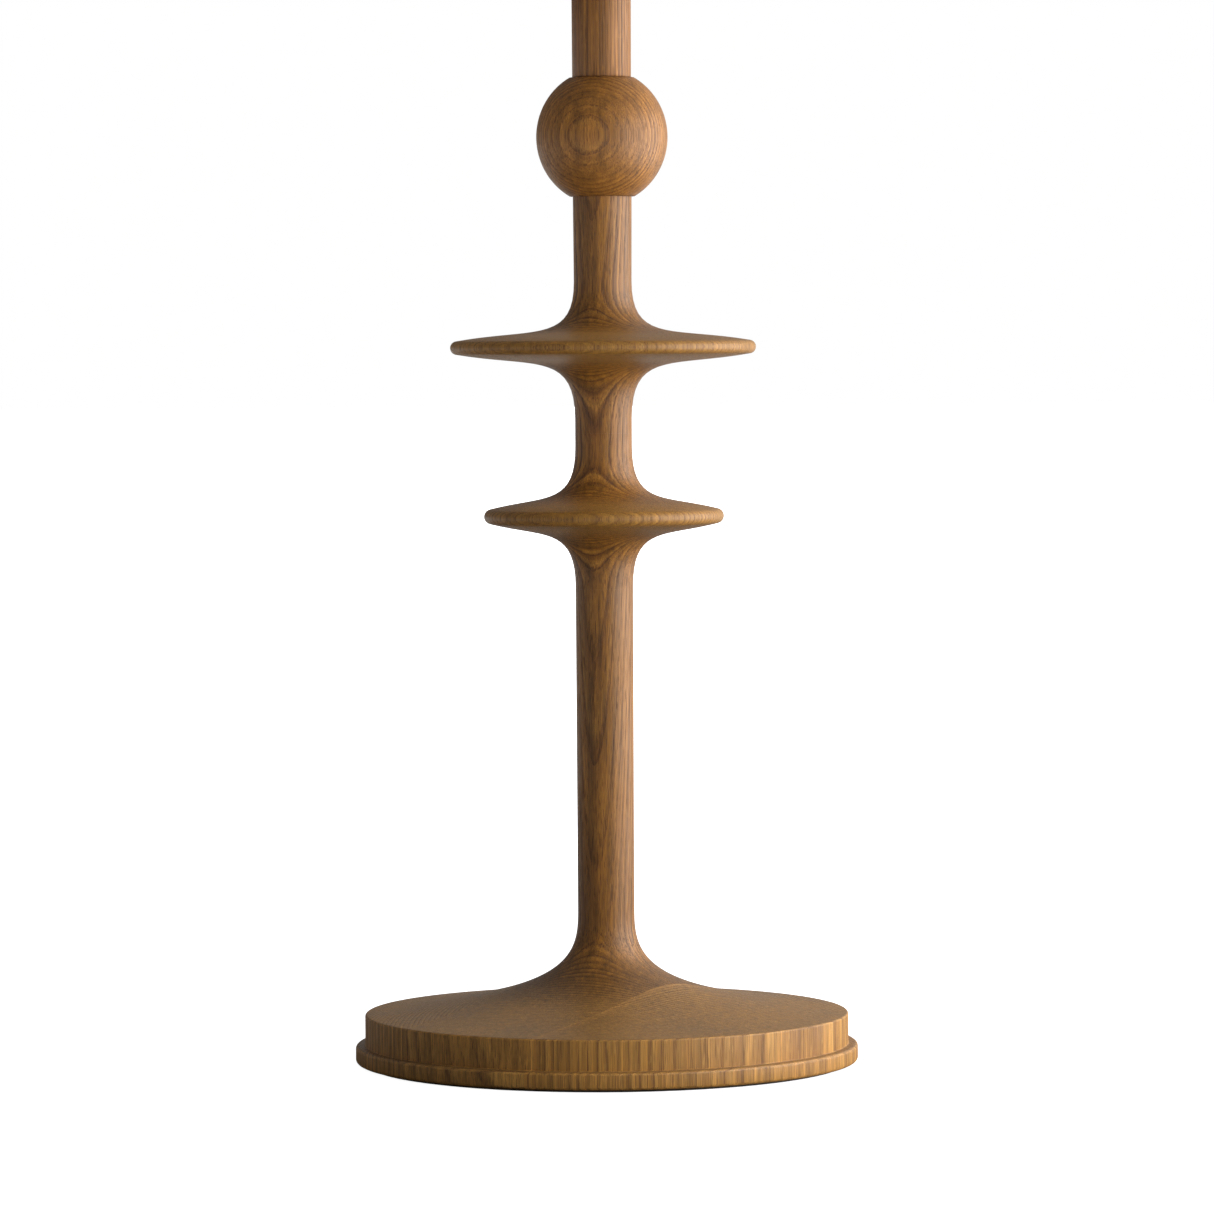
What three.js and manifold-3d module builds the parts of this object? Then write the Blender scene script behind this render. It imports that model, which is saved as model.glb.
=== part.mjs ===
// A turned oak candlestick in millimetres. It stands on z = 0, +Z up, on its own axis.
// A broad glued-up base carries a slim stem with two thin discs and a ball, each a turned
// section pinned to the next with a dowel. A drip pan, a socket and a loose brass cup hold
// the candle.
import * as THREE from "three";
import { mergeVertices } from "three/addons/utils/BufferGeometryUtils.js";
import Module from "manifold-3d";

const wasm = await Module();
wasm.setup();

// How finely round things are cut
const turnedSides = 32;
const hardwareSides = 20;
const sweepSteps = 7;
const noseSteps = 4;
const edgeSteps = 2;

// Fits
const faceGap = 0.1;
const pinClearance = 0.2;
const slipClearance = 0.25;
const endClearance = 1;

// Radii of the slim stem where its sections meet, from the bottom up
const baseNeckRadius = 11.3;
const shaftRadius = 11.5;
const waistRadius = 11.35;
const neckRadius = 11.7;
const upperStemRadius = 11.85;

// Base: felt, ledge, upright wall, and a long sweep up to the stem
const feltThickness = 0.9;
const feltInset = 4;
const wallRadius = 96.7;
const ledgeProjection = 3.8;
const ledgeHeight = 7;
const ledgeEdge = 1.4;
const wallHeight = 12.3;
const wallEdge = 1;
const baseSweepHeight = 41.1;
const baseFaceAngle = THREE.MathUtils.degToRad(5.7);
const baseFacePull = 0.97;
const baseStemPull = 0.47;

// The base is glued up from a centre block and two side blocks
const centreBlockWidth = 60.4;
const sideBlockBearing = THREE.MathUtils.degToRad(-36);

// Plain stem lengths
const lowerStemLength = 128.5;
const upperStemLength = 46.7;

// Discs: a thin rounded rim, and a sweep from each face into the stem
const lowerDisc = {
  rimRadius: 47.9,
  noseRadius: 3,
  faceAngle: THREE.MathUtils.degToRad(14),
  facePull: 0.67,
  stemPull: 0.95,
  collarBelow: 0.4,
  sweepBelow: 28.5,
  sweepAbove: 28,
  collarAbove: 5.2,
};
const upperDisc = {
  rimRadius: 60.95,
  noseRadius: 2.72,
  faceAngle: THREE.MathUtils.degToRad(9.9),
  facePull: 0.67,
  stemPull: 1.05,
  collarBelow: 5.7,
  sweepBelow: 28.4,
  sweepAbove: 26.3,
  collarAbove: 33.7,
};

// Ball: a little taller than wide, flat where the stem meets it
const ballRadius = 26.15;
const ballHalfHeight = 27.16;
const ballShoulder = 1.2;

// Drip pan: the discs' form, with a shallow dish on top
const pan = {
  rimRadius: 40,
  noseRadius: 2.4,
  faceAngle: THREE.MathUtils.degToRad(13),
  facePull: 0.67,
  stemPull: 1,
  collarBelow: 1,
  sweepBelow: 30,
};
const dishDepth = 2;
const dishFloorInset = 14;

// Brass cup and the wooden socket around it
const candleBore = 22.4;
const cupWall = 0.7;
const cupFloor = 0.8;
const cupDepth = 24;
const flangeReach = 4;
const flangeThickness = 1.2;
const socketWall = 4.6;
const socketFlare = 1.8;
const socketFootWall = 3;
const socketFootHeight = 2.6;
const socketStalkHeight = 7;
const socketStalkRadius = 11.6;
const socketRimEdge = 1.4;

// Joints: dowels between sections, a tenon under the stem and one under the socket
const dowelRadius = 5;
const dowelLength = 36;
const dowelChamfer = 0.8;
const stemTenonRadius = 7;
const stemTenonLength = 36;
const socketTenonRadius = 7.5;
const socketTenonLength = 7;

// Lag screw and washer that draw the stem down into the base
const screwRadius = 3;
const screwLength = 58;
const screwTipLength = 5;
const screwHeadAcross = 10;
const screwHeadHeight = 4;
const washerRadius = 9;
const washerThickness = 1.5;
const counterboreRadius = 13;
const counterboreDepth = 9;

// Sizes that follow from the ones above
const ledgeRadius = wallRadius + ledgeProjection;
const baseHeight = ledgeHeight + wallHeight + baseSweepHeight;
const dowelHoleRadius = dowelRadius + pinClearance;
const dowelHoleDepth = dowelLength / 2 + endClearance;
const screwHoleRadius = screwRadius + pinClearance;
const ballFlatRadius = neckRadius + ballShoulder;
const ballFlatHeight = ballHalfHeight * Math.sqrt(1 - (ballFlatRadius / ballRadius) ** 2);
const cupRadius = candleBore / 2 + cupWall;
const cupLength = cupDepth + cupFloor - flangeThickness;
const socketBoreRadius = cupRadius + slipClearance;
const socketBoreDepth = cupLength + endClearance;
const socketHeight = socketFootHeight + socketStalkHeight + socketBoreDepth + endClearance;
const panRimHeight = pan.collarBelow + pan.sweepBelow;
const panFloorHeight = panRimHeight + pan.noseRadius - dishDepth;

// Where each section stands
const sectionHeight = (d) => d.collarBelow + d.sweepBelow + d.sweepAbove + d.collarAbove;
const baseUnderside = feltThickness + faceGap;
const lowerStemFoot = baseUnderside + baseHeight;
const lowerDiscFoot = lowerStemFoot + lowerStemLength;
const upperDiscFoot = lowerDiscFoot + sectionHeight(lowerDisc);
const ballFoot = upperDiscFoot + sectionHeight(upperDisc);
const upperStemFoot = ballFoot + 2 * ballFlatHeight;
const panFoot = upperStemFoot + upperStemLength;
const socketFoot = panFoot + panFloorHeight + faceGap;
const cupSeat = socketFoot + socketHeight + faceGap;
const washerFoot = baseUnderside + counterboreDepth - washerThickness - faceGap;
const screwTip = washerFoot - faceGap + screwLength;

// Outlines are lists of points (radius, height), run upwards on the outside of a piece.
const at = (radius, height) => new THREE.Vector2(radius, height);

// The points of a curve after its first one, which the outline already ends on.
const along = (curve, steps) => curve.getPoints(steps).slice(1);

// A quarter-round edge from one point to another, bulging towards the corner.
const edge = (from, corner, to) =>
  along(new THREE.QuadraticBezierCurve(from, corner, to), edgeSteps);

// The hollow sweep from a face's outer end to the stem. side is 1 on an upper face and -1
// on a lower one. Each pull is the share of the width or height that a tangent holds.
function sweep(outer, stem, form, side) {
  const reach = form.facePull * (outer.x - stem.x);
  const hold = form.stemPull * Math.abs(stem.y - outer.y);
  const leaving = at(
    outer.x - reach * Math.cos(form.faceAngle),
    outer.y + side * reach * Math.sin(form.faceAngle),
  );
  const arriving = at(stem.x, stem.y - side * hold);
  return new THREE.CubicBezierCurve(outer, leaving, arriving, stem).getPoints(sweepSteps);
}

// Where a rim's round nose meets its upper (side 1) or lower (side -1) face.
function noseEnd(form, rimHeight, side) {
  return at(
    form.rimRadius - form.noseRadius * (1 - Math.sin(form.faceAngle)),
    rimHeight + side * form.noseRadius * Math.cos(form.faceAngle),
  );
}

// A rim's round nose, from the angle below the horizontal to the angle above it.
function nose(form, rimHeight, below, above) {
  const centre = form.rimRadius - form.noseRadius;
  const arc = new THREE.EllipseCurve(
    centre, rimHeight, form.noseRadius, form.noseRadius, -below, above,
  );
  return along(arc, noseSteps);
}

// A dowel hole's outline in a section's lower end, or in its upper end.
const lowerDowelHole = () => [
  at(0, dowelHoleDepth),
  at(dowelHoleRadius, dowelHoleDepth),
  at(dowelHoleRadius, 0),
];
const upperDowelHole = (top) => [
  at(dowelHoleRadius, top),
  at(dowelHoleRadius, top - dowelHoleDepth),
  at(0, top - dowelHoleDepth),
];

// A geometry made by turning an outline about the vertical axis.
const turnedGeometry = (outline, sides = turnedSides) =>
  new THREE.LatheGeometry(outline, sides).rotateX(Math.PI / 2);

// A closed geometry as a solid for cutting and joining, and a solid back as a geometry.
function solidFrom(geometry) {
  const bare = geometry.clone().deleteAttribute("normal").deleteAttribute("uv");
  const merged = mergeVertices(bare, 1e-3);
  return new wasm.Manifold(
    new wasm.Mesh({
      numProp: 3,
      vertProperties: merged.attributes.position.array,
      triVerts: new Uint32Array(merged.index.array),
    }),
  );
}
function geometryFrom(solid) {
  const mesh = solid.getMesh();
  const geometry = new THREE.BufferGeometry();
  geometry.setAttribute("position", new THREE.BufferAttribute(mesh.vertProperties, 3));
  geometry.setIndex(new THREE.BufferAttribute(mesh.triVerts, 1));
  geometry.computeVertexNormals();
  return geometry;
}

const oak = (color) => new THREE.MeshStandardMaterial({ color, roughness: 0.5 });
const beech = () => new THREE.MeshStandardMaterial({ color: 0xc9a374, roughness: 0.7 });
const brass = () =>
  new THREE.MeshStandardMaterial({ color: 0xb88a3e, roughness: 0.3, metalness: 1 });
const steel = () =>
  new THREE.MeshStandardMaterial({ color: 0xa7a9ab, roughness: 0.4, metalness: 1 });
const felt = () => new THREE.MeshStandardMaterial({ color: 0x1f1a17, roughness: 1 });

const candlestick = new THREE.Group();

// Adds a named piece, standing at a height on the candlestick's axis.
function add(name, geometry, material, height) {
  const mesh = new THREE.Mesh(geometry, material);
  mesh.name = name;
  mesh.position.z = height;
  candlestick.add(mesh);
}

function feltPad() {
  const radius = ledgeRadius - feltInset;
  const outline = [at(0, 0), at(radius, 0), at(radius, feltThickness), at(0, feltThickness)];
  return turnedGeometry(outline);
}

// The whole base before it is parted into its blocks. A through hole on the axis takes the
// screw from below and the stem's tenon from above.
function baseOutline() {
  const wallTop = ledgeHeight + wallHeight;
  const tenonHole = stemTenonRadius + pinClearance;
  const tenonFloor = baseHeight - stemTenonLength - endClearance;
  const form = {
    faceAngle: baseFaceAngle,
    facePull: baseFacePull,
    stemPull: baseStemPull,
  };
  const start = at(counterboreRadius, 0);
  const face = sweep(at(wallRadius - wallEdge, wallTop), at(baseNeckRadius, baseHeight), form, 1);
  return [
    start,
    at(ledgeRadius - ledgeEdge, 0),
    ...edge(at(ledgeRadius - ledgeEdge, 0), at(ledgeRadius, 0), at(ledgeRadius, ledgeEdge)),
    at(ledgeRadius, ledgeHeight - ledgeEdge),
    ...edge(
      at(ledgeRadius, ledgeHeight - ledgeEdge),
      at(ledgeRadius, ledgeHeight),
      at(ledgeRadius - ledgeEdge, ledgeHeight),
    ),
    at(wallRadius, ledgeHeight),
    at(wallRadius, wallTop - wallEdge),
    ...edge(
      at(wallRadius, wallTop - wallEdge),
      at(wallRadius, wallTop),
      at(wallRadius - wallEdge, wallTop),
    ),
    ...face.slice(1),
    at(tenonHole, baseHeight),
    at(tenonHole, tenonFloor),
    at(screwHoleRadius, tenonFloor),
    at(screwHoleRadius, counterboreDepth),
    at(counterboreRadius, counterboreDepth),
    start,
  ];
}

// Parts the base along two upright glue lines, square to the side blocks' bearing.
function baseBlock(whole, from, to) {
  const length = 3 * ledgeRadius;
  const slab = new THREE.BoxGeometry(to - from, length, 3 * baseHeight);
  slab.translate((from + to) / 2, 0, baseHeight / 2);
  slab.rotateZ(sideBlockBearing);
  return geometryFrom(whole.intersect(solidFrom(slab)));
}

// A plain stem on a tenon, with the screw's pilot hole up through the tenon.
function lowerStem() {
  const top = lowerStemLength - faceGap;
  const pilotDepth = screwTip + endClearance - lowerStemFoot;
  return turnedGeometry([
    at(0, pilotDepth),
    at(screwHoleRadius, pilotDepth),
    at(screwHoleRadius, -stemTenonLength),
    at(stemTenonRadius, -stemTenonLength),
    at(stemTenonRadius, faceGap),
    at(baseNeckRadius, faceGap),
    at(shaftRadius, top),
    ...upperDowelHole(top),
  ]);
}

function discSection(form, lowerRadius, upperRadius, topRadius) {
  const top = sectionHeight(form) - faceGap;
  const rimHeight = form.collarBelow + form.sweepBelow;
  const sweepTop = rimHeight + form.sweepAbove;
  const noseAngle = Math.PI / 2 - form.faceAngle;
  const below = sweep(noseEnd(form, rimHeight, -1), at(lowerRadius, form.collarBelow), form, -1);
  const above = sweep(noseEnd(form, rimHeight, 1), at(upperRadius, sweepTop), form, 1);
  return turnedGeometry([
    ...lowerDowelHole(),
    at(lowerRadius, 0),
    ...below.reverse(),
    ...nose(form, rimHeight, noseAngle, noseAngle),
    ...above.slice(1),
    at(topRadius, top),
    ...upperDowelHole(top),
  ]);
}

function ball() {
  const top = 2 * ballFlatHeight - faceGap;
  const flatAngle = Math.asin(ballFlatHeight / ballHalfHeight);
  const arc = new THREE.EllipseCurve(
    0, top / 2, ballRadius, ballHalfHeight, -flatAngle, flatAngle,
  );
  const round = arc.getPoints(2 * sweepSteps);
  round[0].y = 0;
  round[round.length - 1].y = top;
  return turnedGeometry([...lowerDowelHole(), ...round, ...upperDowelHole(top)]);
}

function upperStem() {
  const top = upperStemLength - faceGap;
  return turnedGeometry([
    ...lowerDowelHole(),
    at(neckRadius, 0),
    at(upperStemRadius, top),
    ...upperDowelHole(top),
  ]);
}

function dripPan() {
  const dishTop = panRimHeight + pan.noseRadius;
  const dishStart = at(pan.rimRadius - pan.noseRadius, dishTop);
  const dishFoot = at(pan.rimRadius - dishFloorInset, panFloorHeight);
  const dishTurn = at((dishStart.x + dishFoot.x) / 2, panFloorHeight);
  const below = sweep(
    noseEnd(pan, panRimHeight, -1), at(upperStemRadius, pan.collarBelow), pan, -1,
  );
  const tenonHole = socketTenonRadius + pinClearance;
  const tenonFloor = panFloorHeight - socketTenonLength - endClearance / 2;
  return turnedGeometry([
    ...lowerDowelHole(),
    at(upperStemRadius, 0),
    ...below.reverse(),
    ...nose(pan, panRimHeight, Math.PI / 2 - pan.faceAngle, Math.PI / 2),
    ...edge(dishStart, dishTurn, dishFoot),
    at(tenonHole, panFloorHeight),
    at(tenonHole, tenonFloor),
    at(0, tenonFloor),
  ]);
}

// A small turned goblet: foot, stalk and bowl, bored for the brass cup.
function candleSocket() {
  const boreFloor = socketHeight - socketBoreDepth;
  const footRadius = socketStalkRadius + socketFootWall;
  const bowlRadius = socketBoreRadius + socketWall;
  const rimRadius = bowlRadius + socketFlare;
  const footTop = at(footRadius, socketFootHeight);
  const stalk = at(socketStalkRadius, socketFootHeight + socketStalkHeight / 3);
  const bowl = at(bowlRadius, boreFloor + socketWall);
  const rimSide = at(rimRadius, socketHeight - socketRimEdge);
  const rimTop = at(rimRadius - socketRimEdge, socketHeight);
  const swell = new THREE.CubicBezierCurve(
    stalk,
    at(socketStalkRadius, boreFloor),
    at(bowlRadius - socketFlare, boreFloor),
    bowl,
  );
  return turnedGeometry([
    at(0, -socketTenonLength),
    at(socketTenonRadius, -socketTenonLength),
    at(socketTenonRadius, 0),
    at(footRadius, 0),
    footTop,
    ...edge(footTop, at(socketStalkRadius, socketFootHeight), stalk),
    ...along(swell, sweepSteps - 2),
    rimSide,
    ...edge(rimSide, at(rimRadius, socketHeight), rimTop),
    at(socketBoreRadius, socketHeight),
    at(socketBoreRadius, boreFloor),
    at(0, boreFloor),
  ]);
}

// A thin cup whose flange rests on the socket's rim. It lifts straight out.
function candleCup() {
  const inner = candleBore / 2;
  const flangeRadius = socketBoreRadius + flangeReach;
  const flangeEdge = flangeThickness / 2;
  return turnedGeometry([
    at(0, -cupLength),
    at(cupRadius, -cupLength),
    at(cupRadius, 0),
    at(flangeRadius - flangeEdge, 0),
    at(flangeRadius, flangeEdge),
    at(flangeRadius - flangeEdge, flangeThickness),
    at(inner, flangeThickness),
    at(inner, cupFloor - cupLength),
    at(0, cupFloor - cupLength),
  ]);
}

function dowel() {
  const waist = dowelRadius - dowelChamfer;
  const outline = [
    at(0, 0),
    at(waist, 0),
    at(dowelRadius, dowelChamfer),
    at(dowelRadius, dowelLength - dowelChamfer),
    at(waist, dowelLength),
    at(0, dowelLength),
  ];
  return turnedGeometry(outline, hardwareSides).translate(0, 0, -dowelLength / 2);
}

// A hexagon-headed screw, its tip up.
function lagScrew() {
  const outline = [
    at(0, -screwHeadHeight / 2),
    at(screwRadius, -screwHeadHeight / 2),
    at(screwRadius, screwLength - screwTipLength),
    at(screwRadius / 4, screwLength),
    at(0, screwLength),
  ];
  const shank = turnedGeometry(outline, hardwareSides);
  const cornerRadius = screwHeadAcross / Math.sqrt(3);
  const head = new THREE.CylinderGeometry(cornerRadius, cornerRadius, screwHeadHeight, 6);
  head.rotateX(Math.PI / 2).translate(0, 0, -screwHeadHeight / 2);
  return geometryFrom(solidFrom(shank).add(solidFrom(head)));
}

function washer() {
  const bore = screwRadius + pinClearance;
  const start = at(bore, 0);
  const outline = [
    start,
    at(washerRadius, 0),
    at(washerRadius, washerThickness),
    at(bore, washerThickness),
    start,
  ];
  return turnedGeometry(outline, hardwareSides);
}

add("felt_pad", feltPad(), felt(), 0);

const wholeBase = solidFrom(turnedGeometry(baseOutline()));
const glueLineInside = (centreBlockWidth - faceGap) / 2;
const glueLineOutside = (centreBlockWidth + faceGap) / 2;
const farSide = 2 * ledgeRadius;
const baseBlocks = {
  base_centre_block: { from: -glueLineInside, to: glueLineInside, color: 0x8a6238 },
  base_right_block: { from: glueLineOutside, to: farSide, color: 0x926a3f },
  base_left_block: { from: -farSide, to: -glueLineOutside, color: 0x80592f },
};
for (const [name, { from, to, color }] of Object.entries(baseBlocks)) {
  add(name, baseBlock(wholeBase, from, to), oak(color), baseUnderside);
}

add("base_washer", washer(), steel(), washerFoot);
add("base_screw", lagScrew(), steel(), washerFoot - faceGap);

add("lower_stem", lowerStem(), oak(0x86602f), lowerStemFoot);
const lowerSection = discSection(lowerDisc, shaftRadius, waistRadius, waistRadius);
const upperSection = discSection(upperDisc, waistRadius, shaftRadius, neckRadius);
add("lower_disc", lowerSection, oak(0x8a6238), lowerDiscFoot);
add("upper_disc", upperSection, oak(0x86602f), upperDiscFoot);
add("ball", ball(), oak(0x8d653a), ballFoot);
add("upper_stem", upperStem(), oak(0x86602f), upperStemFoot);
add("drip_pan", dripPan(), oak(0x8a6238), panFoot);
add("candle_socket", candleSocket(), oak(0x86602f), socketFoot);
add("candle_cup", candleCup(), brass(), cupSeat);

// One dowel across each joint between two sections
const dowelJoints = {
  lower_disc_dowel: lowerDiscFoot,
  upper_disc_dowel: upperDiscFoot,
  ball_lower_dowel: ballFoot,
  ball_upper_dowel: upperStemFoot,
  drip_pan_dowel: panFoot,
};
for (const [name, height] of Object.entries(dowelJoints)) {
  add(name, dowel(), beech(), height);
}

export default candlestick;
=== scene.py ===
"""Turned oak candlestick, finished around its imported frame.

Every wooden section is turned again with a fine outline, the base is parted into its glued
blocks, and oak, beech, brass, steel and felt are built as procedural materials.
"""

import math
import random

import bpy
from bpy.props import (
    FloatProperty,
    FloatVectorProperty,
    IntProperty,
    PointerProperty,
)
from mathutils import Euler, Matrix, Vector
from mathutils.geometry import interpolate_bezier


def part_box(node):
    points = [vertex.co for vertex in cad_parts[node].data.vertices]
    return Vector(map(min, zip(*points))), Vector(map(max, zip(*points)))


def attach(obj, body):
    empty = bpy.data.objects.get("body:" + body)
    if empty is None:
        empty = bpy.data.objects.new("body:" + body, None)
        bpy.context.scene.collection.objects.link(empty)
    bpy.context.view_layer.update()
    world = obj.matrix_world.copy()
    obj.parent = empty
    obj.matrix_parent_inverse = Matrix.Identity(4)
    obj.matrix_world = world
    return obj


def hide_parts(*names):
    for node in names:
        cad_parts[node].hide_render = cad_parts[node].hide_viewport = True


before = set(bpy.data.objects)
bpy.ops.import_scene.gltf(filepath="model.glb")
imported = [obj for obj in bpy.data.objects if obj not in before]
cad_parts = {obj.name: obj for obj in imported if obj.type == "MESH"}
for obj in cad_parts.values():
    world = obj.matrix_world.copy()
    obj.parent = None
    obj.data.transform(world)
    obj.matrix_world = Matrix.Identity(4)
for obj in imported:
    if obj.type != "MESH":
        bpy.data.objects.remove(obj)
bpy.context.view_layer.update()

bl_info = {
    "name": "Turned Oak Candlestick",
    "version": (1, 0, 0),
    "blender": (4, 5, 0),
    "location": "3D View > Sidebar > Candlestick",
    "description": "Turns, fits and finishes an oak candlestick with a brass candle cup",
    "category": "Add Mesh",
}

MM = 0.001
FULL_TURN = 2 * math.pi
QUARTER_TURN = math.pi / 2
STICK = "candlestick"
CUP = "cup"

# Vertices within WELD of each other are one, and a mesh has no detail finer than SLIVER.
WELD = 0.0005 * MM
SLIVER = 0.01 * MM
# A tenon's hole is CLEARANCE wider, and wood stands back from a glue line by GLUE.
CLEARANCE = 0.2 * MM
GLUE = 0.02 * MM
# Radius of the drip pan.
PAN_RIM = 40 * MM
# Flats around the base and the felt pad.
WIDE_STEPS = 256

# Tints multiply the red, green and blue of the oak.
BASE_TINT = (1.37, 1.49, 1.62)
SEAM_TINT = (2.0, 2.1, 2.3)
# The base's end-grain tint greys the faces that look up or down: partly the greyer end grain, partly
# a painted grey sheen on the base's top faces.
BASE_END_GRAIN_AND_SHEEN = (0.59, 0.61, 0.67)
SPINDLE_TINT = (0.82, 0.78, 0.62)
RIM_TINT = (0.99, 1.06, 1.02)

# The pith that the centre block shares with the spindle.
SPINDLE_BOARD = dict(
    bearing=math.radians(20), distance=110 * MM, boundary=0.1264, lean=0.0428,
    width=1.94 * MM, tint=SPINDLE_TINT,
)


def length(name, description, default):
    """A length property in metres."""
    return FloatProperty(
        name=name, description=description, default=default, min=0.0, unit="LENGTH", precision=5
    )


def angle(name, description, degrees):
    """An angle property, given in degrees."""
    return FloatProperty(
        name=name, description=description, default=math.radians(degrees), subtype="ANGLE"
    )


def share(name, description, default):
    """A plain number that is a share or a strength."""
    return FloatProperty(name=name, description=description, default=default, min=0.0)


def colour(name, description, default):
    """A colour property."""
    return FloatVectorProperty(
        name=name, description=description, default=default, size=3, min=0.0, max=1.0,
        subtype="COLOR",
    )


class StemSizes(bpy.types.PropertyGroup):
    """Radii of the slim stem where its sections meet, and the joints between them."""

    base_neck: length("Base Neck", "Stem radius on top of the base", 11.3 * MM)
    shaft: length("Shaft", "Stem radius under the small disc", 11.5 * MM)
    waist: length("Waist", "Stem radius between the discs", 11.35 * MM)
    neck: length("Neck", "Stem radius under the ball", 11.7 * MM)
    upper: length("Upper Stem", "Stem radius under the drip pan", 11.85 * MM)
    ball_flat: length("Ball Flat", "Radius of the flats on the ball", 12.9 * MM)
    tenon: length("Tenon", "Radius of the tenon under the stem", 7.0 * MM)
    tenon_length: length("Tenon Length", "Length of the tenon under the stem", 36 * MM)
    dowel_hole: length("Dowel Hole", "Radius of the dowel holes", 5.2 * MM)
    dowel_hole_depth: length("Dowel Hole Depth", "Depth of each dowel hole", 19 * MM)
    edge_break: length("Edge Break", "Sanded width of the sharp edges at the ball", 0.15 * MM)
    closing: length("Closing", "How far a glued joint's faces reach towards each other", 0.045 * MM)
    turning_steps: IntProperty(
        name="Turning Steps", description="Flats around a turned piece", default=160, min=24
    )


class BaseSizes(bpy.types.PropertyGroup):
    """The stepped round base and its long sweep."""

    wall_radius: length("Wall Radius", "Radius of the upright wall", 96.7 * MM)
    ledge_height: length("Ledge Height", "Height of the ledge", 7.0 * MM)
    ledge_edge: length("Ledge Edge", "Rounding of the ledge", 1.4 * MM)
    wall_height: length("Wall Height", "Height of the wall above the ledge", 12.3 * MM)
    wall_edge: length("Wall Edge", "Rounding at the top of the wall", 0.9 * MM)
    face_angle: angle("Face Angle", "Rise of the top face at its rim", 5.7)
    face_pull: share("Face Pull", "Share of the width that follows the face", 0.97)
    stem_pull: share("Stem Pull", "Share of the height that follows the stem", 0.47)
    block_width: length("Centre Block", "Width of the centre block", 60.4 * MM)
    block_bearing: angle("Bearing", "Bearing of the side blocks from +X", -36.0)
    counterbore: length("Counterbore", "Radius of the screw's recess", 13 * MM)
    counterbore_depth: length("Counterbore Depth", "Depth of the recess", 9 * MM)
    screw_hole: length("Screw Hole", "Radius of the screw's hole", 3.2 * MM)


class DiscSizes(bpy.types.PropertyGroup):
    """One thin disc: a round nose, and a sweep from each face into the stem."""

    nose: length("Nose", "Radius of the rounded rim", 2.7 * MM)
    face_angle: angle("Face Angle", "Slope of the faces at the rim", 10)
    face_pull: share("Face Pull", "Share of the width that follows the face", 0.67)
    stem_pull: share("Stem Pull", "Share of the height that follows the stem", 1.0)
    collar: length("Collar", "Plain stem below the lower sweep", 1 * MM)
    sweep_below: length("Sweep Below", "Height of the lower sweep", 28 * MM)
    sweep_above: length("Sweep Above", "Height of the upper sweep", 28 * MM)


class OakFinish(bpy.types.PropertyGroup):
    """Colours and grain of the oiled oak."""

    pale: colour("Pale", "Young wood just inside a growth ring", (0.46, 0.225, 0.050))
    warm: colour("Warm", "The body of a growth ring", (0.350, 0.153, 0.028))
    dark: colour("Dark", "Dense wood at the end of a ring", (0.165, 0.064, 0.012))
    pore: colour("Pore", "Stain held in the open pores", (0.070, 0.027, 0.008))
    end_grain: colour("End Grain", "Tint of the end grain", (1.0, 1.0, 1.0))
    ring_width: length("Ring Width", "Usual width of a growth ring", 1.85 * MM)
    wander: length("Wander", "How far a growth ring strays", 0.5 * MM)


class MetalFinish(bpy.types.PropertyGroup):
    """Colours of the brass and the steel."""

    brass: colour("Brass", "Clean spun brass", (0.68, 0.46, 0.17))
    tarnish: colour("Tarnish", "Aged brass", (0.33, 0.19, 0.07))
    steel: colour("Steel", "Zinc on steel", (0.56, 0.57, 0.58))


class StageLook(bpy.types.PropertyGroup):
    """Floor, light and camera."""

    floor: colour("Floor", "Colour of the floor", (0.86, 0.86, 0.855))
    floor_glow: share("Floor Glow", "Extra white that the floor shows the camera", 0.95)
    floor_bounce: share("Floor Bounce", "White that the far floor throws on the wood", 0.9)
    floor_dimming: share("Floor Dimming", "Share of its colour that the floor throws back", 0.25)
    key_power: FloatProperty(
        name="Key Power", description="Power of the large soft light", default=7.8, unit="POWER"
    )
    key_bearing: angle("Key Bearing", "Bearing of the light, right of the camera", 80)
    key_distance: length("Key Distance", "From the axis to the light", 0.55)
    key_height: length("Key Height", "Height of the light's middle", 0.29)
    back_light: share("Back Light", "Strength of the white behind the candlestick", 0.8)
    front_light: share("Front Light", "Strength of the light from the camera's side", 0.19)
    camera_distance: length("Camera Distance", "From the axis", 2.36)
    eye_height: length("Eye Height", "Camera height above the floor", 0.2873)
    aim_height: length("Aim Height", "Height that the camera looks at", 0.1825)
    aim_side: length("Aim Side", "How far right of the axis it looks", 0.0010)
    lens: FloatProperty(name="Lens", description="Focal length", default=175.44, unit="CAMERA")
    roll: angle("Roll", "Turn of the camera about its view", 0.32)


class CandlestickSettings(bpy.types.PropertyGroup):
    """All the settings of the candlestick."""

    stem: PointerProperty(type=StemSizes)
    base: PointerProperty(type=BaseSizes)
    lower_disc: PointerProperty(type=DiscSizes)
    upper_disc: PointerProperty(type=DiscSizes)
    pan: PointerProperty(type=DiscSizes)
    oak: PointerProperty(type=OakFinish)
    metal: PointerProperty(type=MetalFinish)
    stage: PointerProperty(type=StageLook)


DISC_FORMS = {
    "lower_disc": dict(
        nose=3 * MM, face_angle=math.radians(14), stem_pull=0.95,
        collar=0.4 * MM, sweep_below=28.5 * MM, sweep_above=28 * MM,
    ),
    "upper_disc": dict(
        nose=2.72 * MM, face_angle=math.radians(9.9), stem_pull=1.05,
        collar=5.7 * MM, sweep_below=28.4 * MM, sweep_above=26.3 * MM,
    ),
    "pan": dict(
        nose=2.4 * MM, face_angle=math.radians(13), stem_pull=1.0,
        collar=1 * MM, sweep_below=30 * MM, sweep_above=0.0,
    ),
}


def settings():
    """The scene's candlestick settings."""
    return bpy.context.scene.candlestick


# ---------------------------------------------------------------- outlines and turning


def at(radius, height):
    """A point of an outline, on the side of the axis that faces +X."""
    return Vector((radius, 0.0, height))


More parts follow.
